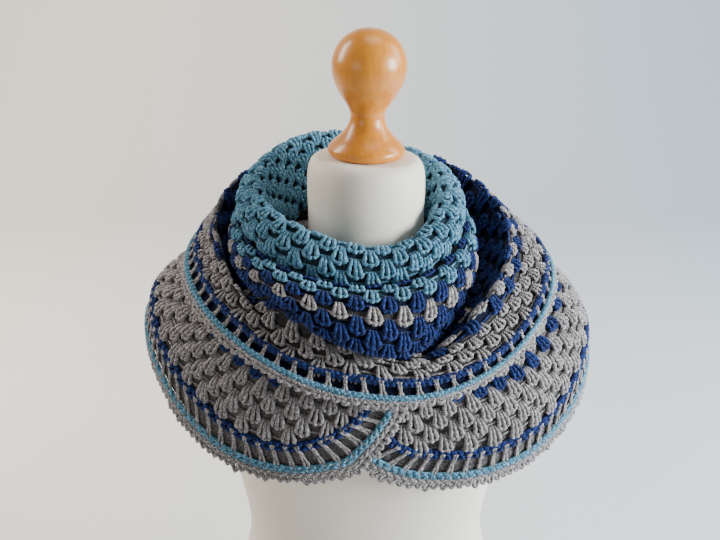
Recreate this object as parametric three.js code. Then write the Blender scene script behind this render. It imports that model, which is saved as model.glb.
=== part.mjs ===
// A crocheted granny shawl wound round the shoulders of a limbless dress form that stands on its own
// flat base. Millimetres, +Z up. The front faces -Y and the wearer's right-hand side of the view is +X.
// The origin is the centre of the base's underside, on the axis of the neck.
//
// The shawl is one crescent of crochet. Its long edge rolls over round the neck, the cloth then makes a
// second fold that hangs over the front, and the outer drape runs down to the hem. The two ends and the
// stretch between them hang below that hem and close at the front, the left end on top of the right.

import * as THREE from 'three';

// ---------- driving sizes ----------
const WALL = 3.5;            // thickness of the crocheted cloth
const SEAM = 0.3;            // clearance between pieces that meet
const EDGE_DEPTH = 10;       // picot edge, from the rim to the outer chain of the border
const CHAIN = 2.5;           // half the width of a chain line of the border
const LADDER_DEPTH = 17;     // outer chain to inner chain on the wound hem
const MAIN_POSTS = 66;       // posts of the ladder round the wound hem
const LOWER_POSTS = 33;      // posts of the ladder on each of the three lower stretches
const POST_SHARE = 0.42;     // width of a post as a share of its pitch
const PANEL_BANDS = 4;       // facets from the inner chain up to the top of a lower stretch
const NECK_TOP = 700;        // height of the neck's flat top
const NECK_LEAN = 1.8;       // degrees that the neck's top and the finial lean to the right
const FORM_COLUMNS = 44;     // facets round the dress form
const FINIAL_COLUMNS = 28;   // facets round the finial

const table = (columns, rows) => {
  const names = columns.trim().split(/\s+/);
  return rows.map((row) => Object.fromEntries(names.map((name, i) => [name, row[i]])));
};

// Rings of the wound cloth, from the edge inside the neck to the rim of the hem. left, right, front and
// back are how far the ring reaches from the axis of the neck, zFront to zLeft are its heights there, and
// skew lowers its front right and raises its front left.
const WRAP = table('ring left right front back zFront zRight zBack zLeft skew', [
  ['neckIn', 80, 62.8, 67.6, 72, 606, 622, 632, 616, -4],
  ['rollIn', 94, 66, 70, 82, 616, 648, 686, 650, -9],
  ['rollTop', 108, 78, 79, 90, 634, 670, 706, 672, -8],
  ['rollOut', 127, 95, 92, 101, 624, 660, 696, 664, -4],
  ['rollLow', 130, 99, 99, 106, 612, 645, 678, 652, -2],
  ['valleyOne', 126, 97, 97, 104, 606, 638, 664, 644, -2],
  ['foldRise', 129, 101, 107, 109, 607, 634, 668, 642, -2],
  ['foldTop', 134, 107, 119, 114, 599, 628, 668, 636, -4],
  ['foldFace', 137, 111, 137, 119, 580, 614, 657, 626, -7],
  ['foldLip', 137, 111, 144, 121, 563, 602, 648, 618, -11],
  ['foldLow', 135, 109, 142, 119, 553, 594, 642, 611, -14],
  ['foldUnder', 134, 112, 134, 120, 551, 589, 637, 606, -12],
  ['valleyTwo', 141, 121, 127, 125, 547, 588, 634, 601, -8],
  ['ridgeIn', 147, 134, 130, 132, 541, 604, 655, 617, -2],
  ['ridgeTop', 151, 146, 133, 138, 536, 620, 680, 632, 2],
  ['ridgeOut', 158, 154, 137, 145, 530, 613, 668, 624, 2],
  ['drape', 172, 172, 141, 155, 522, 600, 636, 608, -2],
  ['drapeLow', 183, 186, 148, 162, 509, 590, 606, 596, -5],
  ['hem', 190, 196, 153, 167, 499, 577, 580, 584, -7],
]);

// Rows of vertices along the wound cloth, counted in rings from the first one above.
const ROLL_ROWS = [0, 1, 1.5, 2, 2.5, 3, 3.5, 4, 5];
const SECOND_FOLD_ROWS = [5, 6, 7, 8, 9, 10, 10.5, 11, 12];
const DRAPE_ROWS = [15.4, 15, 14.5, 14, 13.5, 13, 12.5, 12];

// Where the rings are pressed in, out, up or down by hand: how far at its middle, and how many degrees
// to each side it takes to fade. They let the drape pass under the second fold at the front.
const PRESSES = table('ring az spread out up', [
  ['foldFace', 45, 14, -4, -1.5],
  ['foldLip', 45, 14, -5, -2],
  ['foldLow', 47, 15, -6, -1],
  ['foldUnder', 47, 15, -5, -3],
  ['foldUnder', 14, 13, -1, 2.5],
  ['valleyTwo', 38, 15, 0, -8],
  ['valleyTwo', 18, 13, -3, -2],
  ['ridgeIn', 12, 12, -1, -2],
  ['ridgeIn', 27, 10, 2, -9],
  ['ridgeIn', 52, 12, 2, 4],
  ['ridgeTop', 27, 10, 1, -14],
  ['ridgeTop', 52, 11, 3, 10],
  ['ridgeOut', 26, 10, 1, -6],
  ['ridgeOut', 52, 11, 3, 4],
  ['foldLow', -62, 14, -3, 1],
  ['foldUnder', -62, 14, -3, 2],
  ['valleyTwo', -60, 14, 1, -3],
  ['ridgeIn', -58, 15, 1, 3],
  ['ridgeTop', -57, 15, 0, 7],
  ['ridgeOut', -57, 15, 0, 5],
]);

// Rings of the surface that the lower stretches lie on, from their hidden top edge downwards.
const LOWER = table('ring left right front back zFront zRight zBack zLeft skew', [
  ['top', 150, 150, 126, 128, 534, 566, 600, 568, -4],
  ['shoulder', 173, 173, 135, 142, 520, 574, 594, 580, -6],
  ['turn', 199, 199, 141, 157, 496, 566, 572, 571, -6],
  ['side', 219, 219, 146, 167, 468, 548, 546, 557, -4],
  ['hang', 229, 232, 150, 173, 438, 520, 515, 536, 0],
  ['foot', 231, 235, 154, 177, 385, 465, 465, 485, 0],
]);

// Course of the border on the lower surface, as azimuth and drop from the top ring: the outer chain, the
// inner chain, and the place where the same column ends at the hidden top edge.
const LEFT_BORDER = table('az drop innerAz innerDrop topAz topDrop', [
  [7.2, 22, 2, 20, 0, 18],
  [6.5, 45, 0.4, 42, -3, 18],
  [4.4, 61, -2, 54, -6, 18],
  [1.6, 75, -4.6, 65, -9, 18],
  [-1.4, 88, -7.4, 75, -12, 18],
  [-4.6, 100, -10.2, 84, -15, 18],
  [-9.5, 108, -13.2, 90, -18, 18],
  [-14, 115, -17, 96, -21, 18],
  [-20, 122, -21.5, 101, -25, 18],
  [-27, 129, -28, 107, -30, 18],
  [-36, 133, -36, 110, -37, 18],
  [-46, 131, -46, 109, -46, 18],
  [-56, 125, -56, 104, -56, 15],
  [-66, 117, -66, 97, -66, 9],
  [-76, 111, -76, 91, -76, 3],
  [-90, 109, -90, 89, -90, 0],
  [-105, 112, -105, 92, -105, 0],
]);
const BACK_BORDER = table('az drop innerAz innerDrop topAz topDrop', [
  [-105, 112, -105, 92, -105, 0],
  [-130, 116, -130, 96, -130, 0],
  [-155, 118, -155, 98, -155, 0],
  [-180, 120, -180, 100, -180, 0],
  [-205, 123, -205, 103, -205, 0],
  [-230, 128, -230, 108, -230, 0],
  [-255, 132, -255, 112, -255, 0],
]);
const RIGHT_BORDER = table('az drop innerAz innerDrop topAz topDrop', [
  [105, 132, 105, 112, 105, 0],
  [90, 136, 90, 116, 90, 0],
  [74, 138, 74, 117, 74, 4],
  [62, 139, 62, 118, 62, 12],
  [52, 138, 52, 117, 52, 18],
  [43, 136, 43, 115, 43, 18],
  [34, 131, 34, 110, 35, 18],
  [26, 126, 27, 105, 29, 18],
  [18, 121, 20, 101, 24.5, 18],
  [11, 116, 15.5, 97, 21.5, 18],
  [5.5, 107, 12, 92, 19.5, 18],
  [1.8, 97, 9.4, 86, 18, 18],
  [2, 86, 8, 77, 17, 18],
  [4.2, 73, 9.4, 68, 16, 18],
  [6.6, 59, 11.4, 57, 15.5, 18],
  [8.4, 40, 13.4, 40, 15, 18],
]);
const LEFT_LIFT = 1.4;       // how far outwards the left end moves where the two ends cross
const RIGHT_LIFT = -4.4;     // and the right end, which goes inwards
const CROSS_FROM = 26;       // degrees from the middle where that begins
const CROSS_FULL = 14;       // and where it is whole

// Sections of the dress form: half width and reach to the front and back, with the roundness as the
// exponent of a superellipse.
const FORM = table('z side front back power', [
  [0, 166, 104, 116, 2.3],
  [60, 171, 107, 122, 2.3],
  [130, 168, 106, 118, 2.3],
  [210, 145, 98, 98, 2.25],
  [285, 127, 94, 84, 2.2],
  [350, 136, 108, 88, 2.2],
  [410, 150, 126, 94, 2.2],
  [450, 157, 128, 98, 2.2],
  [490, 162, 116, 100, 2.3],
  [520, 165, 104, 98, 2.25],
  [540, 162, 94, 93, 2.15],
  [554, 153, 84, 85, 2.1],
  [565, 135, 75, 78, 2.05],
  [577, 108, 68, 72, 2],
  [588, 82, 64, 67, 2],
  [598, 66, 60.5, 62, 2],
  [609, 60.3, 59, 60, 2],
  [635, 58.5, 58, 58.5, 2],
  [662, 59, 59, 59, 2],
  [684, 58.5, 58.5, 58.5, 2],
  [694, 56, 56, 56, 2],
  [699, 51, 51, 51, 2],
  [NECK_TOP, 45, 45, 45, 2],
]);

// Turned profile of the finial above the neck's top.
const FINIAL = table('radius height', [
  [0, 0], [33, 0], [36.2, 1.6], [38.2, 5], [38, 8.6], [33.8, 14], [26.4, 21], [19.8, 29.5],
  [17.1, 38], [17.6, 44.5], [21.4, 52], [28, 62], [34, 74], [36.6, 86], [36.2, 96], [32, 107.5],
  [24, 117.5], [12, 124], [0, 126],
]);

// ---------- surfaces ----------
const radians = THREE.MathUtils.degToRad;

// All presses on a ring at an azimuth, each fading like a bell curve round its middle.
function pressAt(ring, az) {
  const sum = { out: 0, up: 0 };
  for (const press of PRESSES.filter((entry) => entry.ring === ring)) {
    const away = THREE.MathUtils.euclideanModulo(az - press.az + 180, 360) - 180;
    const share = Math.exp(-0.5 * (away / press.spread) ** 2);
    sum.out += press.out * share;
    sum.up += press.up * share;
  }
  return sum;
}

// A point of a ring: an ellipse through its four reaches, at a height that runs smoothly through its
// four heights; skew tilts the front half without moving the four.
function ringPoint(ring, az) {
  const s = Math.sin(radians(az));
  const c = Math.cos(radians(az));
  const press = pressAt(ring.ring, az);
  const x = (ring.right - ring.left) / 2 + ((ring.right + ring.left) / 2 + press.out) * s;
  const y = (ring.back - ring.front) / 2 - ((ring.back + ring.front) / 2 + press.out) * c;
  const mean = (ring.zFront + ring.zRight + ring.zBack + ring.zLeft) / 4;
  const saddle = (ring.zFront + ring.zBack - ring.zRight - ring.zLeft) / 4;
  const z = mean + ((ring.zFront - ring.zBack) / 2) * c + ((ring.zRight - ring.zLeft) / 2) * s
    + saddle * (c * c - s * s) + ring.skew * 2.6 * s * c * c + press.up;
  return new THREE.Vector3(x, y, z);
}

// The section of a list of rings at an azimuth, as a curve measured in STEPS between two rings.
const STEPS = 30;
function section(rings, az) {
  const curve = new THREE.CatmullRomCurve3(rings.map((ring) => ringPoint(ring, az)), false, 'centripetal');
  curve.arcLengthDivisions = STEPS * (rings.length - 1);
  return curve;
}

// How far along a section of the wound cloth a broken count of rings lies, in millimetres.
function reach(curve, rings) {
  return between(curve.getLengths().filter((_, i) => i % STEPS === 0), rings);
}

// A point of a section that far along it.
function pointAlong(curve, distance) {
  return curve.getPointAt(THREE.MathUtils.clamp(distance / curve.getLength(), 0, 1));
}

// A point of the lower surface from its azimuth and its drop below the top ring, moved out by lift.
function lowerPoint(az, drop, lift = 0) {
  const curve = section(LOWER, az);
  const point = pointAlong(curve, drop);
  if (lift === 0) return point;
  return point.addScaledVector(lowerNormal(az, drop), lift);
}

function lowerNormal(az, drop) {
  const step = 0.5;
  const across = lowerPoint(az + step, drop).sub(lowerPoint(az - step, drop));
  const up = lowerPoint(az, drop - step).sub(lowerPoint(az, drop + step));
  return across.cross(up).normalize();
}

// ---------- solids ----------
// A cloth wall from flat cells. Each vertex has a place on the middle surface and a normal, each cell
// lists its vertices anticlockwise as seen from the normal's side. Both faces are fanned from a cell's
// first vertex, and every edge with a cell on one side only gets a rim between the faces. The rim's
// diagonal starts at the end that is lower along a slant, so that both sides of a seam are cut alike.
const SLANT = new THREE.Vector3(0.37, 0.21, 1);
function clothWall(vertices, cells) {
  const half = WALL / 2;
  const outer = vertices.map(({ point, normal }) => point.clone().addScaledVector(normal, half));
  const inner = vertices.map(({ point, normal }) => point.clone().addScaledVector(normal, -half));
  const position = [...outer, ...inner].flatMap((p) => [p.x, p.y, p.z]);
  const below = vertices.length;
  const index = [];
  const edges = new Set(cells.flatMap((cell) => cell.map((a, i) => `${a},${cell[(i + 1) % cell.length]}`)));
  for (const cell of cells) {
    for (let i = 1; i < cell.length - 1; i += 1) {
      index.push(cell[0], cell[i], cell[i + 1]);
      index.push(cell[0] + below, cell[i + 1] + below, cell[i] + below);
    }
    cell.forEach((a, i) => {
      const b = cell[(i + 1) % cell.length];
      if (edges.has(`${b},${a}`)) return;
      if (outer[a].dot(SLANT) < outer[b].dot(SLANT)) index.push(b, a, a + below, b, a + below, b + below);
      else index.push(b, a, b + below, a, a + below, b + below);
    });
  }
  return solid(position, index);
}

function solid(position, index) {
  const geometry = new THREE.BufferGeometry();
  geometry.setAttribute('position', new THREE.Float32BufferAttribute(position, 3));
  geometry.setIndex(index);
  geometry.computeVertexNormals();
  return geometry;
}

// Place and normal of a vertex in a grid of columns (rightwards) and rows (downwards), from a function
// of its column and row. The normal comes from small steps along both. The vertices of a seam are moved
// right or up by half of its clearance, so that its two sides stay parallel.
function sheetVertex(place, column, row, moveRight, moveUp) {
  const step = 0.01;
  const right = place(column + step, row).sub(place(column - step, row)).normalize();
  const up = place(column, row - step).sub(place(column, row + step)).normalize();
  const normal = right.clone().cross(up).normalize();
  const point = place(column, row);
  point.addScaledVector(up.cross(normal).normalize(), moveRight);
  point.addScaledVector(normal.clone().cross(right).normalize(), moveUp);
  return { point, normal };
}

// Half of a seam's clearance, positive at the first line of a grid and negative at its last.
function seamMove(index, last) {
  if (index === 0) return SEAM / 2;
  return index === last ? -SEAM / 2 : 0;
}

// A fold that closes round the neck: a grid of cells whose last column meets its first. Its columns are
// those of the drape's posts, so that the two meet vertex to vertex.
function closedFold(rows) {
  const last = rows.length - 1;
  const place = (column, row) => {
    const curve = section(WRAP, 90 + (column * 360) / MAIN_POSTS);
    return pointAlong(curve, reach(curve, between(rows, row)));
  };
  const vertices = [];
  const cells = [];
  for (let row = 0; row <= last; row += 1) {
    for (let column = 0; column < MAIN_POSTS; column += 1) {
      vertices.push(sheetVertex(place, column, row, 0, -seamMove(row, last)));
    }
  }
  const at = (column, row) => row * MAIN_POSTS + (column % MAIN_POSTS);
  for (let row = 0; row < last; row += 1) {
    for (let column = 0; column < MAIN_POSTS; column += 1) {
      cells.push([at(column, row + 1), at(column + 1, row + 1), at(column + 1, row), at(column, row)]);
    }
  }
  return clothWall(vertices, cells);
}

// A stretch of cloth with the open ladder of the border cut through it. place(u, row) gives the middle
// surface, with u counted in posts and rows 0 rim, 1 outer and 2 inner side of the ladder, then one for
// each band up to the top edge.
function ladderPanel(posts, bands, place) {
  const vertices = [];
  const cells = [];
  const top = bands + 2;
  const known = new Map();
  const at = (u, row) => {
    const key = `${u.toFixed(4)},${row}`;
    if (!known.has(key)) {
      known.set(key, vertices.length);
      const down = (column, fromTop) => place(column, top - fromTop);
      vertices.push(sheetVertex(down, u, top - row, seamMove(u, posts), row === top ? -SEAM / 2 : 0));
    }
    return known.get(key);
  };
  for (let post = 0; post < posts; post += 1) {
    const stops = [post, post + POST_SHARE, post + 1];
    if (post === posts - 1) stops.splice(2, 0, post + 1 - POST_SHARE / 2);
    const rim = [at(post, 0), at(post + 1, 0)];
    const outer = stops.map((u) => at(u, 1));
    const inner = stops.map((u) => at(u, 2));
    cells.push([...rim, ...outer.reverse()]);
    outer.reverse();
    for (let i = 0; i < stops.length - 1; i += 2) cells.push([outer[i], outer[i + 1], inner[i + 1], inner[i]]);
    cells.push([at(post, 3), ...inner, at(post + 1, 3)]);
    for (let row = 3; row < top; row += 1) {
      cells.push([at(post, row), at(post + 1, row), at(post + 1, row + 1), at(post, row + 1)]);
    }
  }
  return clothWall(vertices, cells);
}

// One half of the outer drape, from its valley down to the hem, between two azimuths.
function drapeHalf(azFrom, azTo) {
  const posts = MAIN_POSTS / 2;
  const place = (u, row) => {
    const curve = section(WRAP, azFrom + ((azTo - azFrom) * u) / posts);
    const rim = curve.getLength();
    const stops = [rim, rim - EDGE_DEPTH - CHAIN, rim - EDGE_DEPTH - LADDER_DEPTH + CHAIN];
    stops.push(...DRAPE_ROWS.map((rings) => reach(curve, rings)));
    return pointAlong(curve, between(stops, row));
  };
  return ladderPanel(posts, DRAPE_ROWS.length, place);
}

// The value at a broken index of a list, straight between its entries and past its ends.
function between(stops, index) {
  const i = THREE.MathUtils.clamp(Math.floor(index), 0, stops.length - 2);
  return stops[i] + (stops[i + 1] - stops[i]) * (index - i);
}

// A lower stretch that follows its border table. The posts are spaced evenly along the outer chain.
function lowerPanel(border, lift) {
  const points = border.map(({ az, drop }) => new THREE.Vector3((az * Math.PI * 200) / 180, drop, 0));
  const inners = border.map(({ innerAz, innerDrop }) => new THREE.Vector3(innerAz, innerDrop, 0));
  const tops = border.map(({ topAz, topDrop }) => new THREE.Vector3(topAz, topDrop, 0));
  const chain = new THREE.CatmullRomCurve3(points, false, 'centripetal');
  const innerChain = new THREE.CatmullRomCurve3(inners, false, 'centripetal');
  const top = new THREE.CatmullRomCurve3(tops, false, 'centripetal');
  const place = (u, row) => {
    const t = chain.getUtoTmapping(THREE.MathUtils.clamp(u / LOWER_POSTS, 0, 1));
    const c = chain.getPoint(t);
    const outer = [(c.x * 180) / (Math.PI * 200), c.y];
    const i = innerChain.getPoint(t);
    const inner = [i.x, i.y];
    const width = LADDER_DEPTH + 3;
    const mix = (from, to, k) => from.map((value, n) => value + (to[n] - value) * k);
    const rows = [mix(outer, inner, -EDGE_DEPTH / width), mix(outer, inner, CHAIN / width),
      mix(outer, inner, 1 - CHAIN / width)];
    for (let band = 1; band <= PANEL_BANDS; band += 1) {
      rows.push(mix(rows[2], [top.getPoint(t).x, top.getPoint(t).y], band / PANEL_BANDS));
    }
    const az = between(rows.map((r) => r[0]), row);
    const drop = between(rows.map((r) => r[1]), row);
    const near = THREE.MathUtils.smoothstep(-Math.abs(az), -CROSS_FROM, -CROSS_FULL);
    return lowerPoint(az, drop, lift * near);
  };
  return ladderPanel(LOWER_POSTS, PANEL_BANDS, place);
}

// The dress form: superellipse sections joined by a smooth outline and closed by flat ends. The top of
// the neck leans to the right.
function dressForm() {
  const keys = ['z', 'side', 'front', 'back', 'power'];
  const rows = FORM;
  const position = [];
  const index = [];
  const lean = Math.tan(radians(NECK_LEAN));
  const leanFrom = 640;
  const signedPower = (value, power) => Math.sign(value) * Math.abs(value) ** power;
  rows.forEach((row) => {
    const { z, side, front, back, power } = Object.fromEntries(keys.map((key) => [key, row[key]]));
    for (let column = 0; column < FORM_COLUMNS; column += 1) {
      const turn = (2 * Math.PI * column) / FORM_COLUMNS;
      const x = side * signedPower(Math.sin(turn), 2 / power);
      const depth = Math.cos(turn) > 0 ? front : back;
      const y = -depth * signedPower(Math.cos(turn), 2 / power);
      const tilt = THREE.MathUtils.smoothstep(z, leanFrom, NECK_TOP) * lean * x;
      position.push(x, y, z - tilt);
    }
  });
  for (let row = 0; row < rows.length - 1; row += 1) {
    for (let column = 0; column < FORM_COLUMNS; column += 1) {
      const next = (column + 1) % FORM_COLUMNS;
      const a = row * FORM_COLUMNS + column;
      const b = row * FORM_COLUMNS + next;
      index.push(a, b, b + FORM_COLUMNS, a, b + FORM_COLUMNS, a + FORM_COLUMNS);
    }
  }
  const last = (rows.length - 1) * FORM_COLUMNS;
  const bottom = position.length / 3;
  position.push(0, 0, 0, 0, 0, NECK_TOP);
  for (let column = 0; column < FORM_COLUMNS; column += 1) {
    const next = (column + 1) % FORM_COLUMNS;
    index.push(bottom, next, column);
    index.push(bottom + 1, last + column, last + next);
  }
  return solid(position, index);
}

// The turned wooden finial, with its axis on Z and its foot at zero.
function finial() {
  const outline = FINIAL.map(({ radius, height }) => new THREE.Vector2(radius, height));
  const geometry = new THREE.LatheGeometry(outline, FINIAL_COLUMNS);
  geometry.rotateX(Math.PI / 2);
  return geometry;
}

// ---------- the part ----------
const cloth = (color) => new THREE.MeshStandardMaterial({ color, roughness: 0.92, metalness: 0 });
const part = new THREE.Group();

function add(name, geometry, material) {
  const mesh = new THREE.Mesh(geometry, material);
  mesh.name = name;
  part.add(mesh);
  return mesh;
}

add('form_torso', dressForm(), new THREE.MeshStandardMaterial({ color: '#e8e1d4', roughness: 0.8 }));
const knob = add('form_finial', finial(),
  new THREE.MeshStandardMaterial({ color: '#d29a58', roughness: 0.35 }));
knob.rotation.y = radians(NECK_LEAN);
knob.position.set(0, 0, NECK_TOP + SEAM);
add('shawl_neck_roll', closedFold(ROLL_ROWS), cloth('#7fb0c4'));
add('shawl_second_fold', closedFold(SECOND_FOLD_ROWS), cloth('#3c4a86'));
add('shawl_drape_front', drapeHalf(-90, 90), cloth('#98908c'));
add('shawl_drape_back', drapeHalf(90, 270), cloth('#98908c'));
add('shawl_end_left', lowerPanel([...LEFT_BORDER].reverse(), LEFT_LIFT), cloth('#a39b97'));
add('shawl_end_right', lowerPanel([...RIGHT_BORDER].reverse(), RIGHT_LIFT), cloth('#a39b97'));
add('shawl_back_stretch', lowerPanel([...BACK_BORDER].reverse(), 0), cloth('#a39b97'));

export default part;
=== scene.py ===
"""A crocheted granny shawl wound round a limbless dress form.

Sizes in the tables are millimetres; meshes are made in metres. The front faces -Y and +Z is up. Places
on the cloth are read by azimuth, in degrees from the front towards +X, and by level, in millimetres of
cloth from the rim.
"""

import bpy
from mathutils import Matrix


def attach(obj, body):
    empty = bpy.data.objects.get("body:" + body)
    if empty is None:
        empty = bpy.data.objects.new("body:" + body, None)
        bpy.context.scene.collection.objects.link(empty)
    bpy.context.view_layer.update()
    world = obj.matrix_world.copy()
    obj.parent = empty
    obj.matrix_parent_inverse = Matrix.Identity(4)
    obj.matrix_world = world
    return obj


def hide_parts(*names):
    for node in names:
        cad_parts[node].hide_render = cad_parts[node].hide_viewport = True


bl_info = {
    "name": "Wound granny shawl",
    "version": (1, 0, 0),
    "blender": (4, 5, 0),
    "location": "3D View > Sidebar > Shawl",
    "description": "Builds a crocheted shawl in stitches of yarn, wound on a dress form",
    "category": "Add Mesh",
}

from functools import cache

import bpy
import numpy as np
from bpy.props import FloatProperty, FloatVectorProperty, IntProperty, PointerProperty
from bpy.types import Operator, Panel, PropertyGroup

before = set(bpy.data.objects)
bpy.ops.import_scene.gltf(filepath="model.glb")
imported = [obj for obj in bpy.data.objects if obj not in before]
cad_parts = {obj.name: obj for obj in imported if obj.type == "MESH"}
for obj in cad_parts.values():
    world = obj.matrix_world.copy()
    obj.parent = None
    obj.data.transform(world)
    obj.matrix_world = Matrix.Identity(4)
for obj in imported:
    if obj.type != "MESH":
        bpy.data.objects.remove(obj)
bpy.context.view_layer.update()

MM = 0.001


def table(columns, rows):
    """Columns by name: each an array down the rows, and names a list."""
    names = columns.split()
    turned = list(zip(*rows))
    return {n: (list(v) if isinstance(v[0], str) else np.array(v, float)) for n, v in zip(names, turned)}


# Rings of the wound cloth, as reaches from the axis of the neck and heights.
RING = "ring left right front back z_front z_right z_back z_left skew"
WRAP = table(RING, [
    ("neck_in", 80, 62.8, 67.6, 72, 606, 622, 632, 616, -4),
    ("roll_in", 94, 66, 70, 82, 616, 648, 686, 650, -9),
    ("roll_top", 108, 78, 79, 90, 634, 670, 706, 672, -8),
    ("roll_out", 127, 95, 92, 101, 624, 660, 696, 664, -4),
    ("roll_low", 130, 99, 99, 106, 612, 645, 678, 652, -2),
    ("valley_one", 126, 97, 97, 104, 598, 634, 664, 642, -2),
    ("fold_rise", 129, 101, 105, 109, 602, 632, 668, 641, -2),
    ("fold_top", 134, 107, 119, 114, 599, 628, 668, 636, -4),
    ("fold_face", 137, 111, 137, 119, 580, 614, 657, 626, -7),
    ("fold_lip", 137, 111, 144, 121, 563, 602, 648, 618, -11),
    ("fold_low", 135, 109, 142, 119, 553, 594, 642, 611, -14),
    ("fold_under", 134, 112, 134, 120, 551, 589, 637, 606, -12),
    ("valley_two", 141, 121, 127, 125, 547, 588, 634, 601, -8),
    ("ridge_in", 147, 134, 130, 132, 541, 604, 655, 617, -2),
    ("ridge_top", 151, 146, 133, 138, 536, 620, 680, 632, 2),
    ("ridge_out", 158, 154, 137, 145, 530, 613, 668, 624, 2),
    ("drape", 172, 172, 141, 155, 522, 600, 636, 608, -2),
    ("drape_low", 183, 186, 148, 162, 509, 590, 606, 596, -5),
    ("hem", 190, 196, 153, 167, 499, 577, 580, 584, -7),
])

# Where rings are pushed: the azimuth in the middle, the degrees over which the push fades, and how far it
# goes out and up.
PRESSES = {
    "fold_face": [(45, 14, -4, -1.5)],
    "fold_lip": [(45, 14, -5, -2), (-36, 11, 0, 4)],
    "fold_low": [(47, 15, -6, -1), (-62, 14, -3, 1), (-36, 11, -1, 8)],
    "fold_under": [(47, 15, -5, -3), (14, 13, -1, 2.5), (-62, 14, -3, 2), (-36, 11, 0, 9)],
    "valley_two": [(38, 15, 0, -8), (18, 13, -3, -2), (-60, 14, 1, -3), (-36, 11, -1, 7)],
    "ridge_in": [(12, 12, -1, -2), (27, 10, 2, -9), (52, 12, 2, 4), (-58, 15, 1, 3), (128, 24, 0, -4)],
    "ridge_top": [(27, 10, 1, -14), (52, 11, 3, 10), (-57, 15, 0, 7), (128, 24, 0, -6), (-85, 14, 3, 5)],
    "ridge_out": [(26, 10, 1, -6), (52, 11, 3, 4), (-57, 15, 0, 5), (128, 24, 0, -5)],
    "roll_in": [(-150, 32, 0, -6)],
    "roll_top": [(-150, 32, 0, -7)],
    "roll_out": [(-150, 32, 0, -6)],
}

# Level of the cloth at each ring that matters, at eight azimuths from the front round by the right.
LEVELS = table("ring a0 a45 a90 a135 a180 a225 a270 a315", [
    ("neck_in", 318, 318, 336, 354, 372, 375, 352, 346),
    ("valley_one", 248, 248, 246, 246, 250, 250, 238, 250),
    ("fold_rise", 221, 224, 227, 232, 236, 236, 218, 222),
    ("fold_top", 202, 205, 212, 212, 212, 212, 205, 205),
    ("fold_face", 172, 180, 192, 196, 196, 194, 182, 174),
    ("fold_lip", 152, 160, 178, 184, 184, 182, 168, 158),
    ("fold_low", 136, 148, 168, 178, 178, 174, 158, 146),
    ("fold_under", 98, 136, 155, 170, 170, 164, 146, 112),
    ("valley_two", 58, 120, 138, 156, 156, 150, 134, 74),
    ("ridge_in", 49, 104, 120, 136, 136, 126, 116, 60),
    ("ridge_top", 43, 92, 104, 118, 120, 108, 98, 56),
    ("ridge_out", 35, 82, 87, 98, 100, 86, 78, 44),
    ("drape", 26, 52, 50, 44, 46, 42, 30, 22),
    ("drape_low", 11, 24, 26, 20, 19, 17, 12, 9),
    ("hem", 0, 0, 0, 0, 0, 0, 0, 0),
])

# Rings of the surface that the lower stretches lie on.
LOWER = table(RING, [
    ("top", 150, 150, 126, 128, 534, 566, 600, 568, -4),
    ("shoulder", 173, 173, 135, 142, 520, 574, 594, 580, -6),
    ("turn", 199, 199, 141, 157, 496, 566, 572, 571, -6),
    ("side", 219, 219, 146, 167, 468, 548, 546, 557, -4),
    ("hang", 229, 232, 150, 173, 438, 520, 515, 536, 0),
    ("foot", 231, 235, 154, 177, 385, 465, 465, 485, 0),
])

# Border on the lower surface: outer chain, inner chain and hidden top, as azimuth and drop.
COURSE = "az drop inner_az inner_drop top_az top_drop"
LEFT_BORDER = table(COURSE, [
    (7.2, 22, 2, 20, 0, 18), (6.4, 45, 0.4, 42, -3, 18), (3.9, 61, -2, 55, -6, 18),
    (0.9, 75, -4.6, 64, -9, 18), (-2.2, 88, -7.4, 73, -12, 18), (-4.9, 99, -10.2, 80, -15, 18),
    (-9.5, 107, -13.2, 87, -18, 18), (-14, 114, -17, 94, -21, 18), (-20, 121, -21.5, 99.5, -25, 18),
    (-27, 127, -28, 105, -30, 18), (-36, 131, -36, 104.5, -37, 18), (-46, 130, -46, 100.5, -46, 18),
    (-56, 125, -56, 95, -56, 15), (-66, 117, -66, 90, -66, 9), (-76, 111, -76, 85, -76, 3),
    (-90, 109, -90, 83, -90, 0), (-105, 112, -105, 88, -105, 0),
])
BACK_BORDER = table(COURSE, [(az, drop, az, inner, az, 0) for az, drop, inner in (
    (-105, 112, 88), (-130, 116, 94), (-155, 118, 98), (-180, 120, 100), (-205, 123, 103),
    (-230, 128, 106), (-255, 132, 108),
)])
RIGHT_BORDER = table(COURSE, [
    (105, 132, 105, 108, 105, 0), (90, 136, 90, 109, 90, 0), (74, 138, 74, 111, 74, 4),
    (62, 139, 62, 115, 62, 12), (52, 138, 52, 117, 52, 18), (43, 136, 43, 115, 43, 18),
    (34, 131, 34, 110, 35, 18), (26, 126, 27, 105, 29, 18), (18, 121, 20, 100, 24.5, 18),
    (11, 115, 14.5, 95, 20, 18), (5.5, 107, 10.5, 91, 16, 18), (1.4, 97, 7.5, 85, 13.5, 18),
    (-0.4, 86, 5.6, 77, 12, 18), (-0.4, 73, 5.2, 68, 11, 18), (0.6, 59, 5.6, 57, 10.5, 18),
    (1.6, 40, 6.2, 40, 10, 18),
])
# How far out each end lies where they cross, and the azimuths where that starts and is full.
LEFT_LIFT, RIGHT_LIFT = 1.4, -4.4
CROSS_FROM, CROSS_FULL = 26, 14

# Stripes from the border to the neck edge: yarn, rows, clusters round one row, and the azimuth of a
# cluster in the first of those rows. Each row lies half a cluster on from the last.
STRIPES = table("yarn rows clusters start", [
    ("grey", 4, 33, 5.9), ("navy", 1, 31, 7), ("grey", 1, 31, 12.8), ("navy", 6, 25, 8.9),
    ("grey", 1, 25, 8.9), ("navy", 1, 25, 1.7), ("teal", 1, 25, 8.9), ("teal", 1, 24, 3),
    ("navy", 1, 24, 10.5), ("grey", 1, 24, 3), ("teal", 12, 24, 10.5),
])
YARNS = ["grey", "navy", "teal"]

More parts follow.
